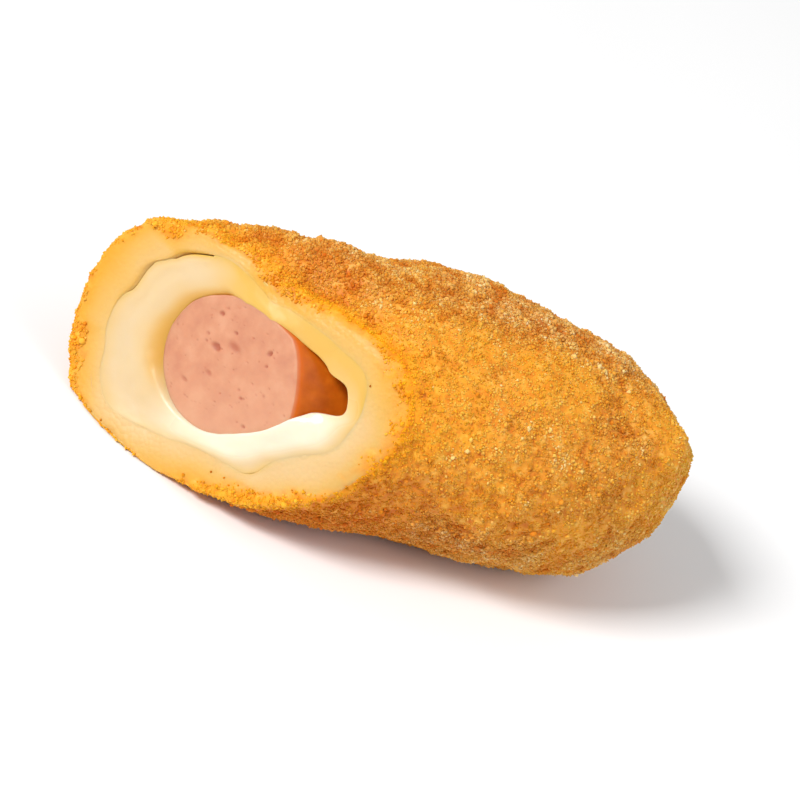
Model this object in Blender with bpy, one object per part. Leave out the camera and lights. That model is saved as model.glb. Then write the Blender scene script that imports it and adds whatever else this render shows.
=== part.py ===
"""Half of a crumbed sausage roll, cut across on the bias.

The roll lies along Y. Its slanting cut is at the -Y end and faces -Y, +X and a
little up, and its round closed end is at +Y. Three solids sit one inside the
other: the crumbed dough wrap, the melted cheese and the sausage. Lengths are
metres, +Z is up, and the origin is on the table under the middle of the half.

While the roll is built its axis is the Y axis, and an angle round it is counted
from +X towards +Z. The last step sets the half down on the table.
"""

import math

import bmesh
import bpy
import numpy as np
from mathutils import Vector

# The whole roll
ROLL_RADIUS = 0.0190
CLOSED_LENGTH = 0.0690  # from the middle of the cut to the closed end
PAST_CUT = 0.0030  # how far the uncut forms run on past the cut
TABLE_FLAT = 0.0011  # how far its own weight has flattened it underneath

# The layers
DOUGH_THICKNESS = 0.0044
DOUGH_LAP = 0.0005  # more than that where the sheet of dough laps over itself
DOUGH_LAP_ANGLE = math.radians(190.0)
DOUGH_END_THICKNESS = 0.0060
SAUSAGE_RADIUS = 0.0095
SAUSAGE_CENTRE = (0.0010, -0.0006)  # x and z: it has sunk in the melted cheese
SAUSAGE_LENGTH = 0.0540  # from the middle of the cut to its hidden end
FIT_GAP = 0.0003  # clearance between neighbouring layers

# The knife cuts: how far from square, and towards which angle round the roll
CUT_BIAS = math.radians(44.0)
CUT_TURN = math.radians(28.0)
SAUSAGE_BIAS = math.radians(37.2)  # the sausage sprang round a little as it was cut
SAUSAGE_TURN = math.radians(27.3)
KNIFE_SIZE = 0.12
TABLE_SIZE = (0.10, 0.20, 0.02)

# The knife pressed the roof of the roll flat, down onto the sausage, near the cut
ROOF_ANGLE = math.radians(104.0)
ROOF_REACH = 0.0134  # from the roll's axis to the flattened roof, at the cut
ROOF_RISE = 0.0110  # how much higher it is where the roll is round again
ROOF_LENGTH = 0.0095  # how far from the cut the pressing is felt
ROOF_THICKNESS = 0.0036
ROOF_SHARPNESS = 9  # how tightly the roof turns into the round sides

# The hollow that the cheese left beside the sausage as it ran down
HOLLOW_ANGLE = math.radians(41.0)
HOLLOW_CENTRE_RADIUS = 0.0082
HOLLOW_HALF_SIZE = (0.0053, 0.0140, 0.0056)  # outwards, along the roll, and around it

# The closed end is rounded over this share of the radius, more on its upper side
END_ROUNDING = 1.52
END_ROUNDING_UPPER = 0.44
END_UPPER_ANGLE = math.radians(127.0)

# How the forms are meshed
RING_SPACING = 1.3  # over 1 draws the rings of the forms together near the cut
STRAIGHT_SHARE = 0.6  # of the rings are along the roll, and the rest round its end
SHARP_ANGLE = math.radians(40.0)

# Uneven swelling: (share of the radius, waves round the roll, radians per metre, phase)
SWELLINGS = (
    (0.018, 1, 0.0, -0.65),
    (0.018, 1, 190.0, 0.32),
    (0.008, 2, -140.0, 1.00),
    (0.014, 4, 60.0, 3.87),
    (0.005, 6, 230.0, 0.70),
)

DOUGH_COLOUR = (0.80, 0.36, 0.05, 1.0)
CHEESE_COLOUR = (0.95, 0.76, 0.44, 1.0)
SAUSAGE_COLOUR = (0.80, 0.42, 0.28, 1.0)


def swelling(angle, along):
    """Share by which the roll is fatter than its nominal radius: a sum of slow waves."""
    return sum(
        share * math.sin(waves * angle + rate * along + phase)
        for share, waves, rate, phase in SWELLINGS
    )


def cut_position(angle, radius):
    """Where along the roll the cut crosses the line at this angle and radius."""
    return math.tan(CUT_BIAS) * radius * math.cos(angle - CUT_TURN)


def roof_reach(angle, along):
    """Height of the pressed roof over the roll's axis, rising away from the cut."""
    past_cut = max(along - cut_position(angle, ROLL_RADIUS), 0.0)
    return ROOF_REACH + ROOF_RISE * (1.0 - math.exp(-((past_cut / ROOF_LENGTH) ** 2)))


def flattened(radius, reach, angle):
    """`radius`, or the distance to a flat roof `reach` away where that is less, blended."""
    facing = math.cos(angle - ROOF_ANGLE)
    if facing <= 0.0:
        return radius
    power = ROOF_SHARPNESS
    return (radius**-power + (reach / facing) ** -power) ** (-1.0 / power)


def dough_thickness(angle):
    return DOUGH_THICKNESS + DOUGH_LAP * math.cos(angle - DOUGH_LAP_ANGLE)


def roll_radius(angle, along):
    radius = ROLL_RADIUS * (1.0 + swelling(angle, along))
    return flattened(radius, roof_reach(angle, along), angle)


def filling_radius(angle, along):
    """Inside of the dough wrap."""
    radius = ROLL_RADIUS * (1.0 + swelling(angle, along)) - dough_thickness(angle)
    return flattened(radius, roof_reach(angle, along) - ROOF_THICKNESS, angle)


def end_rounding(angle):
    return END_ROUNDING + END_ROUNDING_UPPER * math.cos(angle - END_UPPER_ANGLE)


def finish_form(name, form):
    mesh = bpy.data.meshes.new(name)
    form.to_mesh(mesh)
    form.free()
    mesh.shade_smooth()
    mesh.set_sharp_from_angle(angle=SHARP_ANGLE)
    return bpy.data.objects.new(name, mesh)


def round_form(name, radius_at, past_cut, end, rounding_at, segments, rings):
    """A closed roll along Y, made from a sphere whose points are moved.

    The sphere's lower pole becomes a flat start, slanted like the cut and
    `past_cut` beyond it. Its lower latitudes become rings along the roll, closest
    together near the cut, and the others round the closed end off as part of an
    ellipse, cos for the radius and sin for the length.
    """
    form = bmesh.new()
    bmesh.ops.create_uvsphere(form, u_segments=segments, v_segments=rings, radius=1.0)
    straight = round(rings * STRAIGHT_SHARE)
    for point in form.verts:
        ring = round(math.acos(max(-1.0, min(1.0, -point.co.z))) / math.pi * rings)
        angle = math.atan2(point.co.y, point.co.x)
        rounding = rounding_at(angle)
        shoulder = end - rounding
        if ring == 0:
            y, share = -past_cut, 0.0
        elif ring <= straight:
            start = cut_position(angle, radius_at(angle, 0.0)) - past_cut
            y = start + (shoulder - start) * ((ring - 1) / (straight - 1)) ** RING_SPACING
            share = 1.0
        else:
            turn = math.pi / 2 * (ring - straight) / (rings - straight)
            y = shoulder + rounding * math.sin(turn)
            share = math.cos(turn)
        radius = radius_at(angle, y) * share
        point.co = (radius * math.cos(angle), y, radius * math.sin(angle))
    # Laying the sphere's axis along Y mirrors it, so its faces are turned to face out.
    bmesh.ops.reverse_faces(form, faces=form.faces)
    return finish_form(name, form)


def roll_form(name):
    """The outside of the crumbed dough."""
    return round_form(
        name,
        roll_radius,
        PAST_CUT,
        CLOSED_LENGTH,
        lambda angle: ROLL_RADIUS * end_rounding(angle),
        segments=60,
        rings=30,
    )


def filling_form(name, clearance=0.0):
    """The inside of the dough wrap, `clearance` larger than the cheese."""
    inner_radius = ROLL_RADIUS - DOUGH_THICKNESS
    return round_form(
        name,
        lambda angle, along: filling_radius(angle, along) + clearance,
        PAST_CUT + 0.002 + clearance,
        CLOSED_LENGTH - DOUGH_END_THICKNESS + clearance,
        lambda angle: inner_radius * end_rounding(angle),
        segments=48,
        rings=22,
    )


def sausage_form(name, clearance=0.0):
    """A straight round sausage, `clearance` larger than nominal all round."""
    radius = SAUSAGE_RADIUS + clearance
    form = round_form(
        name,
        lambda angle, along: radius,
        PAST_CUT + 0.004 + clearance,
        SAUSAGE_LENGTH + clearance,
        lambda angle: radius,
        segments=40,
        rings=16,
    )
    for point in form.data.vertices:
        point.co.x += SAUSAGE_CENTRE[0]
        point.co.z += SAUSAGE_CENTRE[1]
    return form


def knife(name, bias, turn):
    """A block whose face is a cut through the middle of the roll, `bias` off square."""
    outward = Vector(
        (
            math.sin(bias) * math.cos(turn),
            -math.cos(bias),
            math.sin(bias) * math.sin(turn),
        )
    )
    form = bmesh.new()
    bmesh.ops.create_cube(form, size=KNIFE_SIZE)
    block = finish_form(name, form)
    block.rotation_euler = outward.to_track_quat("Z", "Y").to_euler()
    block.location = outward * KNIFE_SIZE / 2
    return block


def hollow_form(name):
    """The hollow beside the sausage: an ellipsoid whose middle is on the cut."""
    x = HOLLOW_CENTRE_RADIUS * math.cos(HOLLOW_ANGLE)
    z = HOLLOW_CENTRE_RADIUS * math.sin(HOLLOW_ANGLE)
    y = cut_position(HOLLOW_ANGLE, HOLLOW_CENTRE_RADIUS)
    form = bmesh.new()
    bmesh.ops.create_uvsphere(form, u_segments=28, v_segments=16, radius=1.0)
    bmesh.ops.scale(form, vec=HOLLOW_HALF_SIZE, verts=form.verts)
    hollow = finish_form(name, form)
    hollow.rotation_euler = (0.0, -HOLLOW_ANGLE, 0.0)
    hollow.location = (x, y, z)
    return hollow


def table_form(name):
    """A slab whose top is the table that the roll lies on."""
    form = bmesh.new()
    bmesh.ops.create_cube(form, size=1.0)
    bmesh.ops.scale(form, vec=TABLE_SIZE, verts=form.verts)
    slab = finish_form(name, form)
    slab.location = (0.0, CLOSED_LENGTH / 2, TABLE_FLAT - ROLL_RADIUS - TABLE_SIZE[2] / 2)
    return slab


def cut(piece, cutter):
    modifier = piece.modifiers.new("minus " + cutter.name, "BOOLEAN")
    modifier.operation = "DIFFERENCE"
    modifier.solver = "EXACT"
    modifier.object = cutter


def paint(piece, colour, roughness):
    material = bpy.data.materials.new(piece.name)
    material.use_nodes = True
    shader = material.node_tree.nodes["Principled BSDF"]
    shader.inputs["Base Color"].default_value = colour
    shader.inputs["Roughness"].default_value = roughness
    material.diffuse_color = colour
    piece.data.materials.append(material)


def extent(pieces):
    """Lowest and highest corner of the finished pieces."""
    graph = bpy.context.evaluated_depsgraph_get()
    corners = []
    for piece in pieces:
        mesh = piece.evaluated_get(graph).to_mesh()
        points = np.array([piece.matrix_world @ point.co for point in mesh.vertices])
        corners += [points.min(axis=0), points.max(axis=0)]
    return np.min(corners, axis=0), np.max(corners, axis=0)


for leftover in list(bpy.data.objects):
    bpy.data.objects.remove(leftover)

roll = bpy.data.collections.new("sausage_roll_half")
tools = bpy.data.collections.new("knives_and_moulds")
for collection in (roll, tools):
    bpy.context.scene.collection.children.link(collection)

dough = roll_form("dough")
cheese = filling_form("cheese")
sausage = sausage_form("sausage")
pieces = (dough, cheese, sausage)

cut_knife = knife("cut_knife", CUT_BIAS, CUT_TURN)
sausage_knife = knife("sausage_knife", SAUSAGE_BIAS, SAUSAGE_TURN)
filling_mould = filling_form("filling_mould", FIT_GAP)
sausage_mould = sausage_form("sausage_mould", FIT_GAP)
hollow = hollow_form("hollow")
table = table_form("table")
cutters = (cut_knife, sausage_knife, filling_mould, sausage_mould, hollow, table)

for piece in pieces:
    roll.objects.link(piece)
for cutter in cutters:
    tools.objects.link(cutter)
    cutter.hide_render = True
    cutter.display_type = "WIRE"

for cutter in (filling_mould, cut_knife, table):
    cut(dough, cutter)
for cutter in (sausage_mould, hollow, cut_knife):
    cut(cheese, cutter)
cut(sausage, sausage_knife)

paint(dough, DOUGH_COLOUR, 0.75)
paint(cheese, CHEESE_COLOUR, 0.35)
paint(sausage, SAUSAGE_COLOUR, 0.5)

bpy.context.view_layer.update()
low, high = extent(pieces)
onto_table = Vector((-(low[0] + high[0]) / 2, -(low[1] + high[1]) / 2, -low[2]))
for item in pieces + cutters:
    item.location += onto_table
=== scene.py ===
# %% [markdown]
# # Half of a crumbed sausage roll
#
# A sausage and a stick of cheese are wrapped in dough, rolled in breadcrumbs and
# deep-fried. This half was cut on the bias while the cheese was still soft, so the
# cut shows three layers: the pale dough wrap, the melted cheese and the sausage.
#
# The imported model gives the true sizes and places. Each of its three solids is
# replaced here by a surface with the detail of real food, and the crumb coat is added
# as thousands of small separate crumbs. Shapes are worked out in millimetres round
# the roll's own axis, and are put in their place in metres when a mesh is made.

import bpy
import numpy as np
from mathutils import Matrix, Vector


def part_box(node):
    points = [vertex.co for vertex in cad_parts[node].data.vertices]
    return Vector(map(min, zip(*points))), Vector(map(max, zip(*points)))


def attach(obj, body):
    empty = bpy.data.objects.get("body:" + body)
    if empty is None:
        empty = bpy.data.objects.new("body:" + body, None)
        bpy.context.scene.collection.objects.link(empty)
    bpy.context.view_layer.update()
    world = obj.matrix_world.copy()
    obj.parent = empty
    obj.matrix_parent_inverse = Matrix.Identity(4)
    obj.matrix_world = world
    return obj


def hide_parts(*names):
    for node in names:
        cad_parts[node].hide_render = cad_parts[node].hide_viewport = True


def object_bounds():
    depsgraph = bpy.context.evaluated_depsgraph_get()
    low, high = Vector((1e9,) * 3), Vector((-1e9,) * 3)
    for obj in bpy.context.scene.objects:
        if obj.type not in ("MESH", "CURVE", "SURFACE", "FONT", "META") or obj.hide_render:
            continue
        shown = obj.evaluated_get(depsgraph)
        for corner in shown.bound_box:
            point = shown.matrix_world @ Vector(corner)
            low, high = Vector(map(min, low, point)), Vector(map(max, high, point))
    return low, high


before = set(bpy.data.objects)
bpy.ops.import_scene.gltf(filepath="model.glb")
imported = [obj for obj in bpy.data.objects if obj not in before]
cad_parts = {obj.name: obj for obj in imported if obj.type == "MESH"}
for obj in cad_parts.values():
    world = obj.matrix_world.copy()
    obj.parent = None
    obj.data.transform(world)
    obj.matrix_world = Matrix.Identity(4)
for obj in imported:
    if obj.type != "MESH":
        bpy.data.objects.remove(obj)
cad_low, cad_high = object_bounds()
scene = bpy.context.scene
MM = 0.001
print("model box in mm:", [round(side / MM, 1) for side in cad_high - cad_low])

# %% [markdown]
# ## The roll's own axis
#
# Everything is measured from the point where the knife crossed the middle of the
# roll. The model doesn't hold that point, but it follows from two boxes: the sausage
# sits a known amount off the axis, and the closed end is a known length from the cut.

# %% Find the axis and the middle of the cut
ROLL_RADIUS = 19.0
CLOSED_LENGTH = 69.0  # from the middle of the cut to the closed end
SAUSAGE_RADIUS = 9.5
SAUSAGE_CENTRE = (1.0, -0.6)  # across and up from the roll's axis
SAUSAGE_PROUD = 0.35  # its face has swelled this far out of its cut plane

sausage_low, sausage_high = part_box("sausage")
_, dough_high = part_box("dough")
AXIS = np.array(
    [
        (sausage_low.x + sausage_high.x) / 2 / MM - SAUSAGE_CENTRE[0],
        dough_high.y / MM - CLOSED_LENGTH,
        (sausage_low.z + sausage_high.z) / 2 / MM - SAUSAGE_CENTRE[1],
    ]
)
SAUSAGE_AXIS = AXIS + np.array([SAUSAGE_CENTRE[0], 0.0, SAUSAGE_CENTRE[1]])
print("middle of the cut in mm:", AXIS.round(2))

# %% [markdown]
# ## Noise that numpy can work out for a whole surface at once
#
# Food has no straight lines, so most shapes below are a clean form plus noise. Two
# kinds are enough. `soft_noise` is a smooth random field: random numbers at the
# corners of a lattice, blended between them. `domes` looks like packed grains: space
# is cut in cells, each cell holds one random centre, and the value is highest there.
# Both take the random numbers from a hash of the cell, so they give the same result
# on every run.


# %% Soft noise and packed domes
def hashed(cells, seed):
    """A number from 0 to 1 for each whole-numbered cell: its three coordinates times
    large primes, combined, then stirred by shifting and multiplying."""
    mixed = np.zeros(cells.shape[:-1], np.uint32)
    for axis, prime in enumerate((374761393, 668265263, 2246822519)):
        mixed ^= cells[..., axis].astype(np.int64).astype(np.uint32) * np.uint32(prime)
    mixed ^= np.uint32((seed * 3266489917) % 2**32)
    mixed = (mixed ^ (mixed >> 13)) * np.uint32(1274126177)
    mixed = (mixed ^ (mixed >> 16)) * np.uint32(2654435761)
    return (mixed ^ (mixed >> 15)) / np.float64(2**32)


def soft_noise(points, size, seed):
    """Smooth noise from -1 to 1 with features about `size` across: the hashed values
    at the eight corners of each cell, blended by the smooth step 3t^2 - 2t^3."""
    scaled = points / size
    cell = np.floor(scaled)
    part = scaled - cell
    part = part * part * (3.0 - 2.0 * part)
    total = np.zeros(points.shape[:-1])
    for corner in np.ndindex(2, 2, 2):
        weight = np.prod(np.where(corner, part, 1.0 - part), axis=-1)
        total += weight * hashed(cell + corner, seed)
    return 2.0 * total - 1.0


def domes(points, size, seed):
    """Packed rounded grains about `size` across, from 0 between them to 1 on top:
    one minus the squared distance to the nearest of the cells' random centres."""
    scaled = points / size
    cell = np.floor(scaled)
    nearest = np.full(points.shape[:-1], 9.0)
    for step in np.ndindex(3, 3, 3):
        other = cell + np.array(step) - 1.0
        centre = other + np.stack([hashed(other, seed + k) for k in range(3)], axis=-1)
        nearest = np.minimum(nearest, ((scaled - centre) ** 2).sum(axis=-1))
    return np.clip(1.0 - nearest, 0.0, 1.0)


def layered(points, *layers):
    """Sum of soft noises, each given as (height, size, seed)."""
    return sum(height * soft_noise(points, size, seed) for height, size, seed in layers)


def smooth_step(low, high, value):
    """0 below low, 1 above high, and 3t^2 - 2t^3 between them."""
    share = np.clip((value - low) / (high - low), 0.0, 1.0)
    return share * share * (3.0 - 2.0 * share)


def bell(distance, width):
    """1 at no distance and less further off: the bell curve exp(-(distance / width)^2)."""
    return np.exp(-((distance / width) ** 2))


def towards(degrees, angle, low, high):
    """1 on the side that faces `degrees` and 0 away from it: a smooth step, from `low`
    to `high`, of the cosine of the angle between them."""
    return smooth_step(low, high, np.cos(angle - np.radians(degrees)))


sample = np.random.default_rng(1).random((999, 3)) * 50.0
print("lowest soft noise of a sample:", soft_noise(sample, 3.0, 1).min().round(2))

# %% [markdown]
# ## The form of the roll
#
# These are the formulas of the solid model, written for whole arrays. A point is
# given by its angle round the roll (from +X towards +Z), its distance from the axis
# and its distance along it. The roll is a cylinder that swells a little unevenly, and
# was cut by a plane on the bias.

# %% Measures of the form
CUT_BIAS = np.radians(44.0)  # tilt of the cut from straight across
CUT_TURN = np.radians(28.0)  # side of the roll that the cut leaves shortest
SAUSAGE_BIAS = np.radians(37.2)
SAUSAGE_TURN = np.radians(27.3)
DOUGH_THICKNESS = 4.4
DOUGH_LAP = 0.5  # thicker and thinner by this, most where the wrap laps
DOUGH_LAP_ANGLE = np.radians(190.0)
DOUGH_END_THICKNESS = 6.0
ROOF_ANGLE = np.radians(104.0)
ROOF_REACH = 13.4  # height of the pressed roof over the axis, at the cut
ROOF_RISE = 11.0  # how much it rises away from the cut, out of the roll's reach
ROOF_LENGTH = 9.5  # and over what length
ROOF_THICKNESS = 3.6
ROOF_SHARPNESS = 9.0
END_ROUNDING = 1.52  # length of the rounded end over its radius
END_ROUNDING_UPPER = 0.44
END_UPPER_ANGLE = np.radians(127.0)
# (share of the radius, waves round the roll, radians per millimetre, phase)
SWELLINGS = (
    (0.018, 1, 0.0, -0.65),
    (0.018, 1, 0.190, 0.32),
    (0.008, 2, -0.140, 1.00),
    (0.014, 4, 0.060, 3.87),
    (0.005, 6, 0.230, 0.70),
)


def swelling(angle, along):
    """Sum of slow sine waves round and along the roll, as a share of its radius."""
    return sum(
        share * np.sin(waves * angle + rate * along + phase)
        for share, waves, rate, phase in SWELLINGS
    )


def cut_position(angle, radius):
    """The cut plane: distance along the roll is the tangent of the bias, times the
    radius, times the cosine of the angle from the direction that the cut turns to."""
    return np.tan(CUT_BIAS) * radius * np.cos(angle - CUT_TURN)


def sausage_cut_position(angle, radius):
    """The same for the sausage, which sprang round a little as it was cut."""
    return np.tan(SAUSAGE_BIAS) * radius * np.cos(angle - SAUSAGE_TURN)


print("height of the cut along the roll in mm:", 2 * round(cut_position(CUT_TURN, ROLL_RADIUS), 1))

# %% [markdown]
# ## Pressed roof, hollow and round end
#
# The knife pressed the roof of the roll flat near the cut. A sharp limit would leave a
# crease, so round and flat are blended. The hollow for the filling is the same form,
# less the thickness of the dough. The closed end is part of an ellipse, blunter below
# than above.


# %% Formulas of the form
def flattened(radius, reach, angle):
    """The smaller of the radius and the distance to a flat roof, blended by adding
    both to a high negative power."""
    facing = np.maximum(np.cos(angle - ROOF_ANGLE), 1e-3)
    power = ROOF_SHARPNESS
    return (radius**-power + (reach / facing) ** -power) ** (-1.0 / power)


def roof_reach(angle, along):
    """Height of the pressed roof: it rises back to round as a bell curve fades."""
    past_cut = np.maximum(along - cut_position(angle, ROLL_RADIUS), 0.0)
    return ROOF_REACH + ROOF_RISE * (1.0 - bell(past_cut, ROOF_LENGTH))


def dough_thickness(angle):
    """Thickest at the lap of the wrap: a mean plus a cosine round the roll."""
    return DOUGH_THICKNESS + DOUGH_LAP * np.cos(angle - DOUGH_LAP_ANGLE)


def roll_radius(angle, along):
    """Outside of the dough wrap."""
    radius = ROLL_RADIUS * (1.0 + swelling(angle, along))
    return flattened(radius, roof_reach(angle, along), angle)


def filling_radius(angle, along):
    """Inside of the dough wrap."""
    radius = ROLL_RADIUS * (1.0 + swelling(angle, along)) - dough_thickness(angle)
    return flattened(radius, roof_reach(angle, along) - ROOF_THICKNESS, angle)


def sausage_radius(angle):
    """Distance from the roll's axis to the side of the sausage, whose own axis is a
    little off it: the far crossing of a ray with a circle."""
    across, up = SAUSAGE_CENTRE
    ahead = across * np.cos(angle) + up * np.sin(angle)
    aside = across * np.sin(angle) - up * np.cos(angle)
    return ahead + np.sqrt(SAUSAGE_RADIUS**2 - aside**2)


def end_rounding(angle):
    """Length of the rounded end as a share of the radius, a mean plus a cosine."""
    return END_ROUNDING + END_ROUNDING_UPPER * np.cos(angle - END_UPPER_ANGLE)


def ring_curve(knots, angle, soft):
    """A smooth closed curve round the roll: straight lines between (degrees, value)
    knots, evened out by averaging over `soft` degrees to each side."""
    at, value = np.array(knots).T
    degrees = np.degrees(angle)
    offsets = np.linspace(-soft, soft, 9)
    return np.mean([np.interp(degrees + by, at, value, period=360.0) for by in offsets], axis=0)


print("radius at the cut, top and side:", roll_radius(np.radians([104.0, 14.0]), 0.0).round(1))

# %% [markdown]
# ## Meshes from rows of points
#
# Dough, cheese and sausage are all one kind of surface: rows of points run round the
# roll, each row a little further along a profile, and the first and last row close on
# a single point. So one function can make all three. A second one gives the direction
# that faces out at each point, from the cross product of the two grid directions. It
# is used to push the surface in and out without leaving its form.

# %% Row surfaces
SHARPEST = np.radians(65.0)  # edges that turn more than this are shown sharp


def angles_round(count):
    """Evenly spaced angles, as an array with one row."""
    return np.linspace(0.0, 2.0 * np.pi, count, endpoint=False)[np.newaxis, :]


def placed(angle, radius, along, middle=AXIS):
    """Points in millimetres from angle, radius and distance along the roll."""
    angle, radius, along = np.broadcast_arrays(angle, radius, along)
    offset = np.stack([radius * np.cos(angle), along, radius * np.sin(angle)], axis=-1)
    return middle + offset


def on_axis(along, middle=AXIS):
    """The point of an axis at a distance along the roll."""
    return middle + np.array([0.0, along, 0.0])


def facing_out(points, wall_row):
    """Unit normals of a grid of points that closes on itself from side to side. All
    are turned over if those of one row of the outer wall face the axis."""
    down = np.gradient(points, axis=0)
    across = np.roll(points, -1, axis=1) - np.roll(points, 1, axis=1)
    normal = np.cross(down, across)
    normal /= np.maximum(np.linalg.norm(normal, axis=-1, keepdims=True), 1e-9)
    outward = (normal[wall_row] * (points[wall_row] - AXIS))[..., [0, 2]].sum()
    return normal if outward >= 0 else -normal


def row_faces(rows, count):
    """Quads between neighbouring rows, and triangles from the end rows to the poles,
    whose numbers come after all the others."""
    first = np.arange(rows * count).reshape(rows, count)
    right = np.roll(first, -1, axis=1)
    quads = np.stack([first[:-1], first[1:], right[1:], right[:-1]], axis=-1).reshape(-1, 4)
    start = np.full(count, rows * count)
    start_fan = np.stack([start, first[0], right[0]], axis=-1)
    end_fan = np.stack([right[-1], first[-1], start + 1], axis=-1)
    return quads.tolist() + start_fan.tolist() + end_fan.tolist()


def add_values(mesh, **values):
    """Stores one number per point under each name, for the materials to read."""
    for name, array in values.items():
        attribute = mesh.attributes.new(name, "FLOAT", "POINT")
        attribute.data.foreach_set("value", np.asarray(array, np.float32).ravel())


def add_piece(name, mesh, material, node, sharpest=SHARPEST):
    """Makes the object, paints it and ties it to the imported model."""
    mesh.shade_smooth()
    if sharpest is not None:
        mesh.set_sharp_from_angle(angle=sharpest)
    mesh.materials.append(material)
    piece = bpy.data.objects.new(name, mesh)
    scene.collection.objects.link(piece)
    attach(piece, "root")
    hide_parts(node)
    print(name, "has", len(mesh.loops) - 2 * len(mesh.polygons), "triangles")


def row_mesh(name, points, start, end, **values):
    """The closed mesh of a grid of points with a pole at each end. Each array in
    values covers the grid, and the poles take the mean of the row beside them."""
    rows, count = points.shape[:2]
    everything = np.concatenate([points.reshape(-1, 3), [start, end]]) * MM
    mesh = bpy.data.meshes.new(name)
    mesh.from_pydata(everything.tolist(), [], row_faces(rows, count))
    for key, array in values.items():
        poles = [array[0].mean(), array[-1].mean()]
        add_values(mesh, **{key: np.concatenate([array.ravel(), poles])})
    return mesh


print("faces of three rows of five points:", len(row_faces(3, 5)))

# %% [markdown]
# ## What the knife and the heat did to the cut
#
# The cut is not flat. The cheese stood back as it cooled at the left, left a hollow
# beside the sausage at the upper right, and ran down into a glossy pool at the lower
# right, where it stands proud and laps onto the sausage. The roof of the roll was
# smeared over the sausage's top. All of this is the height of the cut above its
# plane, as a function of angle and radius, and the edge of the hole round the sausage
# is a closed curve.

# %% Relief of the cut
# (degrees, millimetres from the roll's axis) of the edge of the hole in the cheese
HOLE_EDGE = (
    (3, 10.4), (9, 10.45), (15, 10.45), (17.5, 11.0), (19.5, 12.2), (21.5, 13.0), (25, 13.3),
    (35, 13.1), (39, 12.9), (41.8, 12.4), (43.5, 11.6), (45.8, 11.1), (51, 10.8), (61, 9.8),
    (74, 8.6), (80, 8.3), (88, 7.95), (104, 7.9), (118, 7.85), (128, 8.3), (137, 8.8),
    (165, 8.8), (183, 8.5), (215, 8.5), (230, 8.75), (250, 9.3), (268, 10.0), (283, 10.2),
    (291, 10.2), (306, 9.8), (317, 9.5), (327, 9.5), (338, 9.7), (352, 10.15),
)
# (degrees, millimetres) that the edge of the hole stands proud of the cut plane
LIP_HEIGHT = (
    (3, 2.75), (8.5, 2.0), (12, 1.2), (15, 0.4), (18, 0.0), (60, 0.2), (74, 0.8), (88, 1.4),
    (104, 1.1), (118, 0.7), (135, 0.0), (270, 0.0), (290, 0.3), (306, 0.9), (317, 1.25),
    (338, 2.15), (352, 2.75),
)
LIP_WIDTH = 2.4
# (degrees, millimetres from the axis) of the edge between dough and cheese
LAYER_EDGE = (
    (0, 14.6), (20, 15.2), (40, 15.5), (50, 14.9), (60, 13.3), (72, 11.9), (85, 10.9),
    (100, 10.3), (112, 10.8), (124, 12.3), (134, 13.6), (144, 14.3), (155, 14.5), (161, 14.2),
    (171, 14.7), (180, 14.3), (188, 14.0), (205, 14.3), (225, 14.7), (240, 15.5), (250, 16.2),
    (258, 16.0), (266, 15.2), (276, 14.0), (286, 13.1), (296, 12.9), (305, 13.1), (311, 13.8),
    (316, 14.5), (321, 14.5), (326, 14.0), (332, 13.4), (340, 13.15), (348, 13.5), (354, 14.0),
)
# (degrees, 0 to 1) how open the seam is between dough and cheese
SEAM_DEPTH = (
    (138, 0.0), (145, 0.9), (153, 0.9), (159, 0.35), (164, 0.15), (172, 0.35), (190, 0.35),
    (200, 0.15), (206, 0.0), (311, 0.0), (317, 0.30), (328, 0.30), (337, 0.0),
)
# (degrees, millimetres) that the rim of the roll stands proud of the cut plane
RIM_PROUD = ((225, 0.0), (245, 0.8), (258, 1.6), (275, 1.6), (290, 0.8), (310, 0.0))


def hole_edge(angle):
    """Distance from the roll's axis to the edge of the hole in the cheese."""
    return ring_curve(HOLE_EDGE, angle, 1.5)


def layer_edge(angle):
    """Where dough meets cheese on the cut. It wavers a little."""
    waver = 0.10 * np.sin(9 * angle + 1.0) + 0.07 * np.sin(17 * angle)
    return np.maximum(ring_curve(LAYER_EDGE, angle, 3.0) + waver, hole_edge(angle) + 0.9)


def proud(angle, radius):
    """Height of the cut above its plane: the lip's height, fading as a bell curve
    away from the edge of the hole, and the rim's height, rising from the middle."""
    away = np.maximum(radius - hole_edge(angle), 0.0)
    lip = ring_curve(LIP_HEIGHT, angle, 2.5) * bell(away, LIP_WIDTH)
    return lip + ring_curve(RIM_PROUD, angle, 5.0) * smooth_step(12.5, 18.5, radius)


def cut_texture(points):
    """Fine unevenness of the soft layers, shared by dough and cheese so that they
    stay level where they meet."""
    return layered(points, (0.09, 3.0, 61), (0.045, 1.2, 62))


around = hole_edge(angles_round(360))
print("hole edge runs from", around.min().round(1), "to", around.max().round(1), "mm off the axis")

# %% [markdown]
# ## Profiles of the two wraps
#
# Dough and cheese have the same kind of profile. It starts at the closed end, runs
# along the outside to the cut, turns over a rounded edge, crosses the cut, turns over
# a second rounded edge and runs back inside. The profile is worked out for every
# angle at once, so each step is an array of radii and one of distances along the
# roll. A rounded edge is a quarter of an ellipse.

# %% Steps of a profile
HIDDEN_END_SHARE = 0.77  # the hollow's rounded end is shorter than the roll's
HIDDEN_GAP = 0.1  # millimetres between surfaces that are never seen


def shares(rows):
    """Evenly spaced shares of the way up to 1, as a column to go with a row of angles."""
    return np.linspace(0.0, 1.0, rows + 1)[1:, np.newaxis]


def quarter_turn(rows):
    """The same shares of 90 degrees."""
    return np.pi / 2 * shares(rows)


def closed_end(angle, radius_at, end, rounding, rows):
    """Part of an ellipse from the closed end to its shoulder: the turn goes from near
    90 degrees to 0, its sine gives the length and its cosine the radius."""
    turn = np.pi / 2 * (1.0 - shares(rows))
    along = end - rounding + rounding * np.sin(turn)
    return radius_at(angle, along) * np.cos(turn), along


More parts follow.
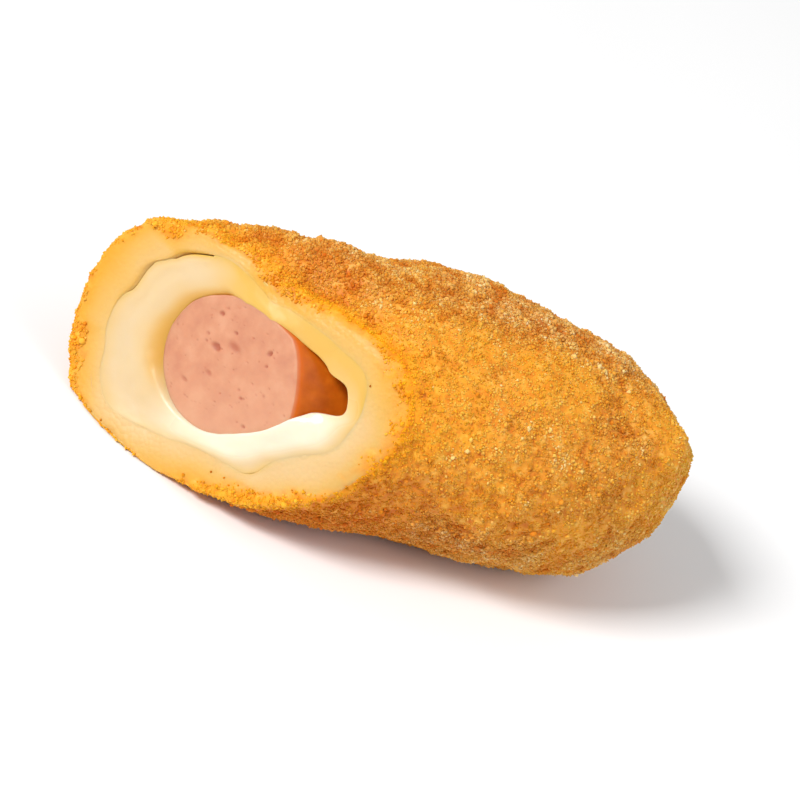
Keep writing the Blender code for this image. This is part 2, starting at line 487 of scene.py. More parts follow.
def outer_wall(angle, radius_at, start, end, rows):
    """Rows along the wall from the shoulder to the rounded edge at the cut."""
    along = start + (end - start) * shares(rows)
    return radius_at(angle, along), along


def cut_height(angle, radius, extra=0.0):
    """Distance along the roll of the cut: its plane, less what stands proud of it, plus
    what the layer stands back."""
    return cut_position(angle, radius) - proud(angle, radius) + extra


def outer_edge(angle, radius, width, depth, extra, rows):
    """Quarter ellipse from the wall onto the cut, `width` across and `depth` long."""
    turn = quarter_turn(rows)
    at = radius - width * (1.0 - np.cos(turn))
    return at, cut_height(angle, at, extra) + depth * (1.0 - np.sin(turn))


def across_cut(angle, outside, inside, extra, rows):
    """Rows across the cut from the outer edge to the inner one. `extra` gives how far
    the layer stands back, as a function of the share of the way across."""
    share = shares(rows)
    at = outside + (inside - outside) * share
    return at, cut_height(angle, at, extra(share))


def inner_edge(angle, inside, width, depth, extra, rows):
    """Quarter ellipse from the cut into the hole."""
    turn = quarter_turn(rows)
    at = inside + width * (1.0 - np.sin(turn))
    return at, cut_height(angle, at, extra) + depth * (1.0 - np.cos(turn))


def joined(angle, *parts):
    """All the steps of a profile, one under the other."""
    full = [np.broadcast_arrays(radius, along, angle) for radius, along in parts]
    return np.concatenate([part[0] for part in full]), np.concatenate([part[1] for part in full])


def hidden_end_length(angle):
    """Length of the rounded end of the hollow that the wrap leaves for its filling."""
    return ROLL_RADIUS * end_rounding(angle) * HIDDEN_END_SHARE


print("steps of a rounded edge:", inner_edge(angles_round(4), 9.0, 1.0, 1.0, 0.0, 3)[0].shape)

# %% [markdown]
# ## The dough wrap with its crust
#
# The wrap is one closed surface, inside and out. Its outside carries the crust: soft
# lumps where the roll was pressed by hand, and fine grains where breadcrumbs are
# buried in the batter. The closed end is rounded and coated like the rest. No formula
# follows a torn, crumbed rim, so what changes round it is given by knots: an angle in
# degrees and a value each.

# %% Measures of the crust
AROUND = 320
CRUST_ROWS = 172
END_ROWS = 84
CRUMB_ROOM = 0.25  # the batter lies this far in, so that its crumbs reach the true size
RESTING_HEIGHT = 0.25  # the batter's height over the table, held up by its crumbs
# (degrees, millimetres) how far over the rim the crumb coat reaches onto the cut
COAT_REACH = (
    (0, 0.0), (15, 0.2), (30, 0.6), (47, 0.6), (59, 0.3), (67, 0.0), (74, 0.2), (84, 0.8),
    (91, 1.2), (107, 1.6), (117, 1.6), (126, 0.0), (145, 0.0), (149, 1.2), (153, 2.6),
    (157.5, 3.6), (161, 0.6), (180, 0.5), (200, 0.5), (212, 0.6), (217, 2.3), (233, 2.2),
    (242, 2.0), (250, 1.3), (257, 0.4), (285, 0.4), (300, 1.5), (308, 2.2), (316, 2.4),
    (324, 1.6), (331, 1.5), (339, 1.0), (346, 0.1),
)
# (degrees, millimetres) that the roll is fuller next to the cut
RIM_FULLNESS = (
    (0, 0.3), (20, 0.3), (50, 0.0), (100, 0.2), (125, 0.5), (146, 0.6), (165, 0.2), (185, 0.0),
    (208, 0.0), (222, 0.3), (236, 0.6), (246, 1.1), (256, 1.1), (270, 1.0), (285, 0.8),
    (300, 0.3), (330, 0.0),
)
RIM_FADE = 10.0
GRAIN_SIZE = 1.15  # millimetres across a grain of the crust
# (degrees, along, height, width) of the larger lumps in the crust, in millimetres
LUMPS = (
    (146, -4.0, 0.4, 2.5), (134, 3.0, 0.5, 3.0), (120, 11.0, 0.7, 3.0), (118, 24.5, 0.5, 3.5),
    (104, 41.5, 0.5, 3.0), (93, 51.5, 0.9, 3.0), (72, 59.0, 1.1, 4.0), (56, 62.5, 1.2, 4.0),
    (42, 62.0, 1.4, 6.0), (318, 56.0, 0.8, 4.5),
)
# (degrees, along) of clusters of pale crumbs and of burnt specks on the crust, and
# (degrees, radius) of burnt specks on the cut
PALE_SPOTS = ((37, 41.0), (30, 43.5), (20, 27.5), (44, 33.0))
CRUST_SPECKS = ((33, 51.0), (37, 22.0), (70, 34.0), (12, 38.0))
CUT_SPECKS = ((41, 15.0), (312, 16.4), (304, 15.2), (315, 16.2), (309, 15.6), (260, 17.7))
print("lumps in the crust:", len(LUMPS), "highest in mm:", max(lump[2] for lump in LUMPS))

# %% [markdown]
# ## Where the crust is coated, brown and orange
#
# Hot oil browns what stands out most, and leaves pale the side that lay against
# another roll. Low down the crust is made browner and a deeper orange as painted
# shade, and the gaps between its grains a deeper orange as painted shade too. Each of
# these is a field from 0 to 1 over the roll. The same fields shape the surface, colour
# it and place the loose crumbs, so that all three agree.


# %% Coat and browning
def rim_distance(angle, along):
    """Millimetres along the roll from the rim of the cut."""
    return along - cut_position(angle, roll_radius(angle, cut_position(angle, ROLL_RADIUS)))


def coating(angle, past_rim, points):
    """1 where crumbs cover the dough and 0 on bare dough, with a ragged edge.
    `past_rim` is positive along the outside and negative across the cut."""
    ragged = layered(points, (0.7, 2.2, 11), (0.5, 0.8, 12))
    return smooth_step(-0.9, 1.0, past_rim + ring_curve(COAT_REACH, angle, 2.0) + ragged)


def browning(angle, along, points):
    """How brown the crust is fried: most on top, in patches, and least on the side that
    lay against its neighbour and where the roof meets the cut. The extra brown low down
    is painted shade."""
    top = towards(122.0, angle, 0.60, 0.97)
    # painted shade: the low side is made browner to stand for shade
    low = towards(-70.0, angle, 0.30, 0.85)
    back = towards(205.0, angle, 0.2, 0.9)
    patches = layered(points, (0.30, 9.0, 21), (0.22, 3.5, 22))
    past_rim = np.maximum(rim_distance(angle, along), 0.0)
    pale_rim = 0.65 * towards(136.0, angle, 0.86, 0.98) * bell(past_rim, 5.0)
    pale_rim = pale_rim + 0.45 * low * bell(past_rim, 3.0)
    tip = smooth_step(48.0, 66.0, along)
    brown = 0.12 + 0.66 * top + 0.38 * low + 0.30 * back + 0.15 * tip + patches - pale_rim
    return np.clip(brown, 0.0, 1.0)


def clumps(points):
    """Clusters of crumbs a millimetre or two across, from -1 to 1."""
    return layered(points, (0.6, 1.9, 34), (0.5, 1.0, 35))


def scorching(angle, along, brown, points):
    """How deep an orange the crust is: most low down near the cut and in the gaps
    between clumps of brown crumbs, both painted shade, and on the roof near the cut."""
    past_rim = rim_distance(angle, along)
    # painted shade: a deeper orange low down near the cut
    low = towards(-40.0, angle, 0.35, 0.9)
    low = low * (0.80 * bell(along - 8.0, 30.0)) * smooth_step(0.5, 4.5, past_rim)
    roof = towards(106.0, angle, 0.90, 0.99)
    low = low + 0.50 * roof * bell(past_rim - 5.0, 5.0)
    # painted shade: a deeper orange in the gaps between clumps
    gaps = (0.28 + 0.45 * brown) * smooth_step(0.0, 0.7, -clumps(points))
    return np.clip(low + gaps, 0.0, 1.0)


print("clumps of a sample:", clumps(sample).min().round(2), "to", clumps(sample).max().round(2))

# %% [markdown]
# ## Height of the crust
#
# Three sizes of unevenness are added: the few lumps a hand leaves, soft waves of the
# batter, and grains of crumb with clumps of them. All is measured off the clean form,
# so a place can be found on the crust again by its angle and distance along the roll.


# %% Relief of the crust
def crust_relief(points, coat, brown):
    """Height of the crust: soft lumps, and grains where it is coated. Brown crust is
    the roughest."""
    waves = layered(points, (0.36, 7.0, 31), (0.32, 2.8, 32))
    grain = domes(points, GRAIN_SIZE, 33) - 0.55
    fine = soft_noise(points, 0.6, 36)
    rough = 0.24 * grain + 0.10 * fine + 0.30 * clumps(points)
    return waves * (0.3 + 0.7 * coat) + coat * (0.6 + 0.7 * brown) * rough


def crust_radius(angle, along):
    """The batter's surface under its crumbs, fuller near the cut."""
    past_cut = np.maximum(along - cut_position(angle, ROLL_RADIUS), 0.0)
    fullness = ring_curve(RIM_FULLNESS, angle, 6.0) * bell(past_cut, RIM_FADE)
    return roll_radius(angle, along) - CRUMB_ROOM + fullness


def lumps(angle, along):
    """Sum of bell-shaped lumps, by distance round and along the roll."""
    total = np.zeros(np.broadcast(angle, along).shape)
    for degrees, at, height, width in LUMPS:
        aside = ROLL_RADIUS * np.angle(np.exp(1j * (angle - np.radians(degrees))))
        total += height * np.exp(-((aside**2 + (along - at) ** 2) / width**2))
    return total


def on_crust(spots):
    """Points for (degrees, along) spots on the outside of the roll."""
    degrees, along = np.array(spots).T
    angle = np.radians(degrees)
    return placed(angle, crust_radius(angle, along), along)


def on_cut(spots):
    """Points for (degrees, radius) spots on the cut."""
    degrees, radius = np.array(spots).T
    angle = np.radians(degrees)
    return placed(angle, radius, cut_height(angle, radius))


specks = np.concatenate([on_crust(CRUST_SPECKS), on_cut(CUT_SPECKS)])
print("burnt specks to set:", len(specks))

# %% [markdown]
# ## From the closed end to the seam
#
# The rows run from the closed end along the crust, over the rim, across the cut and
# into the seam. The clean rows are made first. They are then pushed along their
# normals by the crust's height where the dough is coated, and by the soft texture of
# the cut where it is bare. Last, what would dip under the table is laid on it.

# %% Surface of the wrap
RIM_ROWS = 7
DOUGH_ROWS = 16
SEAM_ROWS = 4
SEAM_WIDTH = 0.35  # width of the rounded edge beside the cheese
SHUT_SEAM, OPEN_SEAM = 0.004, 0.36  # its depth where the seam is shut, and what opening adds

angle = angles_round(AROUND)
rounding = ROLL_RADIUS * end_rounding(angle)
rim_width = 0.9 + 1.0 * towards(50.0, angle, 0.0, 0.9)
rim_radius = crust_radius(angle, cut_position(angle, ROLL_RADIUS))
dough_inside = layer_edge(angle)
seam = ring_curve(SEAM_DEPTH, angle, 4.0)
inside_end = CLOSED_LENGTH - DOUGH_END_THICKNESS
crust_end = CLOSED_LENGTH - CRUMB_ROOM


def dough_face(share):
    """The dough stands a little proud of the cut between its edges, in soft waves."""
    return -0.05 * (1.0 + np.sin(5 * angle + 2.0)) * np.sin(np.pi * share)


seam_depth = SHUT_SEAM + OPEN_SEAM * seam
wall_start = cut_height(angle, rim_radius) + rim_width
parts = (
    closed_end(angle, crust_radius, crust_end, rounding, END_ROWS),
    outer_wall(angle, crust_radius, crust_end - rounding, wall_start, CRUST_ROWS),
    outer_edge(angle, rim_radius, rim_width, rim_width, dough_face(0.0), RIM_ROWS),
    across_cut(angle, rim_radius - rim_width, dough_inside + SEAM_WIDTH, dough_face, DOUGH_ROWS),
    inner_edge(angle, dough_inside, SEAM_WIDTH, seam_depth, dough_face(1.0), SEAM_ROWS),
)
radius, along = joined(angle, *parts)
outside_rows = END_ROWS + CRUST_ROWS
smooth = placed(angle, radius, along)
past_rim = np.broadcast_to(rim_distance(angle, along), radius.shape).copy()
past_rim[outside_rows:] = (radius - rim_radius)[outside_rows:]
coat = coating(angle, past_rim, smooth)
coat[-SEAM_ROWS:] = 0.0
brown = browning(angle, along, smooth)
out = facing_out(smooth, END_ROWS)
height = crust_relief(smooth, coat, brown) + lumps(angle, along) * coat
height[outside_rows:] = (coat * height + (1.0 - coat) * cut_texture(smooth))[outside_rows:]
crust = smooth + out * height[..., np.newaxis]
crust[..., 2] = np.maximum(crust[..., 2], RESTING_HEIGHT + 0.3 * coat * domes(smooth, 0.9, 43))
print("crust grid:", crust.shape[:2], "highest point in mm:", crust[..., 2].max().round(1))

# %% [markdown]
# ## Nodes made by short functions
#
# Every finish is procedural, and a tree of nodes built by hand in a script is long. So
# each kind of node that is used often has a function that makes it, sets its numbers
# and joins its inputs, and gives back its output for the next one.


# %% Helpers for nodes
def picked(red, green, blue):
    """The linear colour for the 0 to 255 numbers of a colour picker."""
    share = np.array([red, green, blue]) / 255.0
    linear = np.where(share <= 0.04045, share / 12.92, ((share + 0.055) / 1.055) ** 2.4)
    return (*linear, 1.0)


def join_or_set(tree, socket, value):
    """Joins a node's output to the socket, or sets the socket to a number or colour."""
    if isinstance(value, bpy.types.NodeSocket):
        tree.links.new(value, socket)
    else:
        socket.default_value = value


def add_node(tree, kind, settings=(), **inputs):
    """A node with its settings, and its inputs set to numbers or joined to outputs."""
    made = tree.nodes.new("ShaderNode" + kind)
    for name, value in dict(settings).items():
        setattr(made, name, value)
    for name, value in inputs.items():
        join_or_set(tree, made.inputs[name.replace("_", " ")], value)
    return made


def calculate(tree, operation, first, second):
    """One step of arithmetic on two numbers or outputs."""
    made = add_node(tree, "Math", {"operation": operation})
    join_or_set(tree, made.inputs[0], first)
    join_or_set(tree, made.inputs[1], second)
    return made.outputs[0]


def mixed(tree, share, first, second):
    """The first colour where the share is 0 and the second where it is 1."""
    made = add_node(tree, "Mix", {"data_type": "RGBA"})
    for index, value in ((0, share), (6, first), (7, second)):
        join_or_set(tree, made.inputs[index], value)
    return made.outputs[2]


def ramp(tree, value, *stops):
    """A colour ramp through stops of a position and a picked colour's three numbers."""
    made = add_node(tree, "ValToRGB", Fac=value)
    elements = made.color_ramp.elements
    while len(elements) < len(stops):
        elements.new(0.5)
    for element, (position, *colour) in zip(elements, stops):
        element.position = position
        element.color = picked(*colour)
    return made.outputs["Color"]


def stored(tree, name):
    """A number stored on the mesh by add_values."""
    return add_node(tree, "Attribute", {"attribute_name": name}).outputs["Fac"]


def own_place(tree):
    """The place on the piece, which a pattern can follow."""
    return add_node(tree, "TexCoord").outputs["Object"]


def noise(tree, place, size, detail=2.0):
    """Noise from 0 to 1 with features about `size` millimetres across."""
    made = add_node(tree, "TexNoise", Vector=place, Scale=1.0 / (size * MM), Detail=detail)
    return made.outputs["Fac"]


print("picked mid grey:", [round(float(part), 3) for part in picked(128, 128, 128)])

# %% [markdown]
# ## Materials and shared effects
#
# Two effects are used by more than one material, so they are node groups. `grain`
# gives the fine unevenness that a surface has below the size of its mesh. `fried
# colour` turns numbers stored on the mesh into the colours of fried crumbs: how brown
# a place is, with painted shade low down, how light that crumb is, how strongly a
# painted glow turns it orange near the cut, as if light shone through the rim, and
# how much painted shade makes it a deeper orange where it lies deep between its
# neighbours. As the mesh holds them, the coat and the loose crumbs on it share one
# pattern.


# %% Helpers for groups and materials
def new_group(name, inputs, outputs):
    """An empty node group with its sockets, and the ends to join inside it."""
    tree = bpy.data.node_groups.new(name, "ShaderNodeTree")
    for direction, sockets in (("INPUT", inputs), ("OUTPUT", outputs)):
        for socket, kind in sockets.items():
            kind = "NodeSocket" + kind
            tree.interface.new_socket(name=socket, in_out=direction, socket_type=kind)
    given = tree.nodes.new("NodeGroupInput").outputs
    gives = tree.nodes.new("NodeGroupOutput").inputs
    return tree, given, gives


def use_group(tree, group, **inputs):
    """The outputs of a shared effect placed in a material with its own values."""
    made = tree.nodes.new("ShaderNodeGroup")
    made.node_tree = group
    for name, value in inputs.items():
        join_or_set(tree, made.inputs[name], value)
    return made.outputs


def new_material(name, **settings):
    """A material and its tree and shader. The settings are the shader's own numbers."""
    material = bpy.data.materials.new(name)
    material.use_nodes = True
    tree = material.node_tree
    shader = tree.nodes["Principled BSDF"]
    for socket, value in settings.items():
        shader.inputs[socket.replace("_", " ")].default_value = value
    return material, tree, shader


def bump(tree, shader, height, distance, strength):
    """Tilts the light on a surface as if `height` rose by `distance` millimetres."""
    made = add_node(tree, "Bump", Height=height, Distance=distance * MM, Strength=strength)
    tree.links.new(made.outputs["Normal"], shader.inputs["Normal"])


def varied(tree, shader, socket, value, low, high):
    """A shader's number that runs from low to high as the value runs from 0 to 1."""
    made = add_node(tree, "MapRange", Value=value, To_Min=low, To_Max=high)
    tree.links.new(made.outputs[0], shader.inputs[socket])


def tinted(tree, colour, **tints):
    """The colour, mixed in turn with each picked one by the stored number of its name."""
    for name, tint in tints.items():
        colour = mixed(tree, stored(tree, name), colour, picked(*tint))
    return colour


print("materials before the food's own:", len(bpy.data.materials))

# %% Shared effects
PATCH_SCALE = 0.11  # patches are this much coarser than the grain

grain, given, gives = new_group(
    "grain",
    {"Place": "Vector", "Scale": "Float", "Softness": "Float"},
    {"Height": "Float", "Patches": "Float"},
)
cells = add_node(grain, "TexVoronoi", Vector=given["Place"], Scale=given["Scale"])
dust = add_node(grain, "TexNoise", Vector=given["Place"], Scale=given["Scale"], Detail=3.0)
coarse = calculate(grain, "MULTIPLY", given["Scale"], PATCH_SCALE)
patches = add_node(grain, "TexNoise", Vector=given["Place"], Scale=coarse)
crumbly = calculate(grain, "SUBTRACT", 1.0, cells.outputs["Distance"])
shared = add_node(grain, "Mix", Factor=given["Softness"], A=crumbly, B=dust.outputs["Fac"])
grain.links.new(shared.outputs[0], gives["Height"])
grain.links.new(patches.outputs["Fac"], gives["Patches"])

fried, given, gives = new_group(
    "fried colour",
    {"Brown": "Float", "Light": "Float", "Glow": "Float", "Deep": "Float"},
    {"Colour": "Color"},
)
golden = ramp(
    fried, given["Light"],
    (0.0, 220, 127, 12), (0.5, 235, 156, 33), (0.85, 242, 180, 70), (1.0, 248, 204, 120),
)
toasted = ramp(
    fried, given["Light"],
    (0.0, 84, 40, 16), (0.06, 168, 88, 20), (0.45, 212, 132, 48), (0.85, 232, 174, 98),
    (1.0, 242, 202, 142),
)
# colours of the painted glow near the rim
glowing = ramp(fried, given["Light"], (0.0, 230, 128, 0), (0.5, 244, 157, 2), (1.0, 252, 178, 26))
colour = mixed(fried, given["Brown"], golden, toasted)
# painted glow: orange as if light shone through the thin rim
colour = mixed(fried, given["Glow"], colour, glowing)
# painted shade: a deeper orange where the crust lies deep or low
colour = mixed(fried, given["Deep"], colour, picked(204, 100, 6))
fried.links.new(colour, gives["Colour"])


def fried_colour(tree, light):
    """The shared fried colour, for numbers that the mesh holds."""
    numbers = {name: stored(tree, name.lower()) for name in ("Brown", "Glow", "Deep")}
    return use_group(tree, fried, Light=light, **numbers)["Colour"]


def patchy(tree, speckle, share, colour, other):
    """The colour with faint coarse patches of another, picked one."""
    faint = calculate(tree, "MULTIPLY", speckle["Patches"], share)
    return mixed(tree, faint, colour, picked(*other))


print("node groups:", [group.name for group in bpy.data.node_groups])

# %% [markdown]
# ## Finish of the dough wrap
#
# One material covers the crust and the bare dough, because on the real roll one turns
# into the other without an edge. Steamed dough lets light a little way in, which the
# shader's subsurface gives. Crust is drier and rougher, with a trace of frying oil.

# %% Dough and crust material
dough_finish, tree, shader = new_material(
    "dough_and_crust", Specular_IOR_Level=0.35,
    Subsurface_Weight=0.30, Subsurface_Radius=(2.2, 1.1, 0.5), Subsurface_Scale=0.0006,
)
LIGHT_CONTRAST, LIGHT_SHIFT = 1.9, -0.52  # spreads the noise over all of 0 to 1

place = own_place(tree)
speckle = use_group(tree, grain, Place=place, Scale=1500.0, Softness=0.35)
light = calculate(tree, "MULTIPLY_ADD", noise(tree, place, 1.3, 4.0), LIGHT_CONTRAST)
light.node.inputs[2].default_value = LIGHT_SHIFT
bare = ramp(
    tree, stored(tree, "tint"),
    (0.0, 212, 184, 140), (0.3, 211, 173, 113), (0.55, 211, 166, 86), (1.0, 215, 152, 22),
)
bare = patchy(tree, speckle, 0.20, bare, (213, 172, 100))
# painted shade: the open seam is darkened in colour
bare = tinted(tree, bare, crease=(198, 146, 34))
colour = mixed(tree, stored(tree, "coat"), bare, fried_colour(tree, light))
tree.links.new(colour, shader.inputs["Base Color"])
varied(tree, shader, "Roughness", stored(tree, "coat"), 0.46, 0.62)
bump(tree, shader, speckle["Height"], 0.16, 0.6)
print("numbers read from the mesh:", sum(node.type == "ATTRIBUTE" for node in tree.nodes))

# %% [markdown]
# ## Numbers for the dough's colours
#
# Bare dough is palest where it is thick and yellower where oil soaked in from the
# coat. The coat has a painted glow of orange next to the rim, as if cheese and light
# lay behind it, and painted shade makes it a deeper orange between its grains and low
# down. The open seam is creased, and darkened with painted shade.

# %% Colour numbers
# (degrees, 0 to 1) how yellow the bare dough is, from pale to soaked with oil
DOUGH_TINT = (
    (0, 0.16), (15, 0.20), (30, 0.34), (45, 0.48), (60, 0.50), (75, 0.52), (105, 0.50),
    (120, 0.40), (135, 0.32), (150, 0.42), (165, 0.56), (180, 0.60), (195, 0.62), (210, 0.60),
    (225, 0.50), (240, 0.44), (255, 0.42), (270, 0.40), (285, 0.42), (300, 0.38), (315, 0.18),
    (330, 0.14), (345, 0.10),
)
SOAKING = 1.7  # millimetres that the oil crept in from the coat
PALE_BAND = 1.5  # millimetres of paler dough beside the cheese, low at the left
GLOW_FROM, GLOW_FADE = 2.0, 3.5  # millimetres from the rim: full glow, and its fading

scorched = scorching(angle, along, brown, smooth)
# painted shade: a deeper orange in the hollows between grains and low down
deep = np.clip(0.5 - domes(smooth, GRAIN_SIZE, 33) + scorched, 0.0, 1.0) * coat
# painted glow: brighter orange near the rim, as if light shone through it
glow = coat * np.exp(-np.maximum(past_rim - GLOW_FROM, 0.0) / GLOW_FADE)
glow = glow * (0.65 + 0.35 * towards(45.0, angle, -0.1, 0.9))
inward = np.maximum(rim_radius - radius, 0.0)
reach = np.maximum(ring_curve(COAT_REACH, angle, 2.0), 0.0)
soaked = bell(np.maximum(inward - reach, 0.0), SOAKING)
beside_cheese = bell(np.maximum(radius - dough_inside, 0.0), PALE_BAND)
beside_cheese = beside_cheese * towards(235.0, angle, 0.1, 0.6)
tint = ring_curve(DOUGH_TINT, angle, 5.0) + 0.42 * soaked - 0.20 * beside_cheese
tint = np.clip(tint + 0.12 * soft_noise(smooth, 4.0, 51), 0.0, 1.0)
share_in = np.clip((rim_radius - radius) / (rim_radius - dough_inside), 0.0, 1.0)
# painted shade: the colour of the open seam's crease
crease = seam * smooth_step(0.86, 1.0, share_in) * (share_in > 0.0)
print("yellowness of the bare dough:", tint[-SEAM_ROWS].min().round(2), "to", tint.max().round(2))

# %% [markdown]
# ## The inside of the wrap
#
# A wrap that only had an outside would be open at the cut, so the rows go on behind
# the seam, along the hollow that the filling lies in, to its rounded end. It is never
# seen, so its rows are few and carry one value each.

# %% Dough wrap
INSIDE_ROWS = 14
HIDDEN_END_ROWS = 10
SETTLING = 6.0  # millimetres in which a hidden wall finds its own radius
CROWDING = 1.6  # hidden rows lie closer together near the cut

hidden_length = hidden_end_length(angle)
from_along = along[-1:]
inside_share = shares(INSIDE_ROWS)
inner_along = from_along + (inside_end - hidden_length - from_along) * inside_share**CROWDING
settled = smooth_step(0.0, SETTLING, inner_along - from_along)
inner_radius = filling_radius(angle, inner_along) + HIDDEN_GAP
inner_radius = dough_inside + (inner_radius - dough_inside) * settled
end_part = closed_end(angle, filling_radius, inside_end, hidden_length, HIDDEN_END_ROWS)
end_radius, end_along = (rows[::-1][1:] for rows in end_part)
inner = placed(angle, *joined(angle, (inner_radius, inner_along), (end_radius, end_along)))


def extended(array, value=0.0):
    """The array with rows of one value added for the hidden inside of the wrap."""
    return np.concatenate([array, np.full(inner.shape[:2], value)])


wrap_mesh = row_mesh(
    "dough_wrap", np.concatenate([crust, inner]),
    on_axis(crust[0, :, 1].mean() - AXIS[1]), on_axis(inside_end),
    coat=extended(coat), brown=extended(brown), glow=extended(glow), deep=extended(deep),
    tint=extended(tint, 0.4), crease=extended(crease),
)
add_piece("dough_wrap", wrap_mesh, dough_finish, "dough")

# %% [markdown]
# ## Where crumbs can lie
#
# The loose crumbs come last, but the rows they lie on are known now: the crust and the
# cut, without the seam. Their numbers are kept beside them, and so is the area of
# each grid cell, because crumbs are spread evenly by area and not by cell.

# %% Rows for the crumbs
PALE_SPREAD = 1.3  # millimetres across which a cluster of pale crumbs fades

kept = slice(0, outside_rows + RIM_ROWS + DOUGH_ROWS)
shell, shell_out, shell_scorched = crust[kept], out[kept], scorched[kept]
shell_brown, shell_glow, shell_coat = brown[kept], glow[kept], coat[kept]
shell_clumps = clumps(smooth[kept])
shell_pale = sum(
    np.exp(-(((smooth[kept] - spot) ** 2).sum(axis=-1) / PALE_SPREAD**2))
    for spot in on_crust(PALE_SPOTS)
)
sides = np.gradient(shell, axis=0), np.roll(shell, -1, axis=1) - shell
area = np.linalg.norm(np.cross(*sides), axis=-1)
print("crust area in square mm:", area.sum().round())

# %% [markdown]
# ## The melted cheese
#
# Cheese fills the space between dough and sausage. Molten cheese has no sharp edges,
# so its rounded edge into the hole is wide, and its face sags and swells gently. At
# the upper left it shrank back from the dough and left a thin dark crack. Elsewhere
# it sticks to the dough, so it dips a little and runs on under it. The hollow beside
# the sausage is the same profile with more room behind the edge.

# %% Measures of the cheese
CHEESE_AROUND = 300
CHEESE_ROWS = 44
CHEESE_WALL_ROWS = 12
CHEESE_EDGE_ROWS = 4
HOLE_ROWS = 12
HOLLOW_ROWS = 22
HOLLOW_LENGTH = 11.0  # how far the hollow runs in beside the sausage
CLOSE_LENGTH = 1.8  # how far the hole runs in where cheese clings to the sausage
HIDDEN_CHEESE_LENGTH = 40.0  # how far the surface runs in along the sausage
CHEESE_EDGE = 0.3  # width of the rounded edge beside the dough
CHEESE_GAP = 0.15  # the cheese stays this far inside the edge of the dough
UNDER_DOUGH = 1.25  # and runs this far on under it where the two stick together
HOLE_EDGE_WIDTH = 0.55  # width of the rounded edge beside the sausage
WIDER_ABOVE = 1.85  # it is this much wider at the upper left
# (degrees, millimetres) that the cheese stands back from the dough where they meet
SHRINKING = (
    (138, 0.0), (150, 0.5), (160, 0.5), (198, 0.35), (209, 0.0), (311, 0.0), (320, 0.15),
    (340, 0.0),
)

angle = angles_round(CHEESE_AROUND)
seam = ring_curve(SEAM_DEPTH, angle, 4.0)
closed = 1.0 - np.minimum(3.0 * seam, 1.0)
cheese_outside = layer_edge(angle) - CHEESE_GAP + UNDER_DOUGH * closed
hole = hole_edge(angle)
shrinking = ring_curve(SHRINKING, angle, 5.0)
hollow = smooth_step(-0.1, 0.8, hole - sausage_radius(angle))
hole_width = HOLE_EDGE_WIDTH + WIDER_ABOVE * towards(163.0, angle, 0.1, 0.9)
hole_width = np.minimum(hole_width, 0.75 * (cheese_outside - hole))
standing_back = sausage_cut_position(angle, hole) - SAUSAGE_PROUD - cut_height(angle, hole)
hole_depth = np.clip(standing_back + 0.25, 1.0, 2.4)
print("rounded edge of the hole in mm:", hole_width.min().round(2), "to", hole_width.max().round(2))

# %% [markdown]
# ## From the hidden end of the cheese to the hollow
#
# The profile takes the same steps as the wrap's, but here most rows lie on the face,
# where the light shows every swelling. Behind the edge of the hole the surface meets
# the sausage along a quarter of an ellipse: short where they cling together and long
# in the open hollow.


# %% Surface of the cheese
def cheese_face(share):
    """Stands back beside the dough or dips under it, and sags between its edges."""
    sag = 0.30 * np.sin(np.pi * share) ** 2 * towards(215.0, angle, -0.2, 0.8)
    inward = share * (cheese_outside - CHEESE_EDGE - hole - hole_width)
    dip = 0.045 * closed * (1.0 - smooth_step(0.3, 1.15, inward))
    return shrinking * bell(share, 0.22) + sag + dip


def hidden_cheese(angle, along):
    """The cheese's outside under the wrap, a hair inside it."""
    return filling_radius(angle, along) - HIDDEN_GAP / 2


cheese_end = inside_end - HIDDEN_GAP
end_length = hidden_end_length(angle)
face_start = cut_height(angle, cheese_outside, cheese_face(0.0)) + 0.35
wall_from = inside_end - end_length
outer_share = shares(CHEESE_WALL_ROWS)
wall_along = wall_from + (face_start - wall_from) * outer_share ** (1 / CROWDING)
settled = smooth_step(0.0, SETTLING, wall_along - face_start)
wall_radius = cheese_outside + (hidden_cheese(angle, wall_along) - cheese_outside) * settled
edge_part = inner_edge(angle, hole, hole_width, hole_depth, cheese_face(1.0), HOLE_ROWS)
depth = shares(HOLLOW_ROWS) ** 1.5 * HIDDEN_CHEESE_LENGTH
edge_depth = 0.08 + 0.3 * seam
room_length = CLOSE_LENGTH + (HOLLOW_LENGTH - CLOSE_LENGTH) * hollow
room = np.sqrt(np.maximum(1.0 - (depth / room_length) ** 2, 0.0))
in_radius = sausage_radius(angle) + HIDDEN_GAP / 2 + (hole - sausage_radius(angle)) * room
parts = (
    closed_end(angle, hidden_cheese, cheese_end, end_length, HIDDEN_END_ROWS),
    (wall_radius, wall_along),
    outer_edge(angle, cheese_outside, CHEESE_EDGE, edge_depth, cheese_face(0.0), CHEESE_EDGE_ROWS),
    across_cut(angle, cheese_outside - CHEESE_EDGE, hole + hole_width, cheese_face, CHEESE_ROWS),
    edge_part,
    (in_radius, edge_part[1][-1:] + depth),
)
radius, along = joined(angle, *parts)
smooth = placed(angle, radius, along)
out = facing_out(smooth, HIDDEN_END_ROWS)
texture = cut_texture(smooth)
texture[: HIDDEN_END_ROWS + CHEESE_WALL_ROWS] = 0.0
surface = smooth + out * texture[..., np.newaxis]
print("cheese grid:", surface.shape[:2])

# %% [markdown]
# ## Finish of the cheese
#
# Melted cheese is pale cream, and yellower in three places: along the dough, on its
# upper side, and where it touches the sausage. Where it dips to the sausage at the left
# and beside the open seam, that yellow and a darker gold are painted shade. The pool
# is glossiest, and whitest partly by its own colour and partly by a painted sheen.
# Light goes deeper into cheese than into dough.

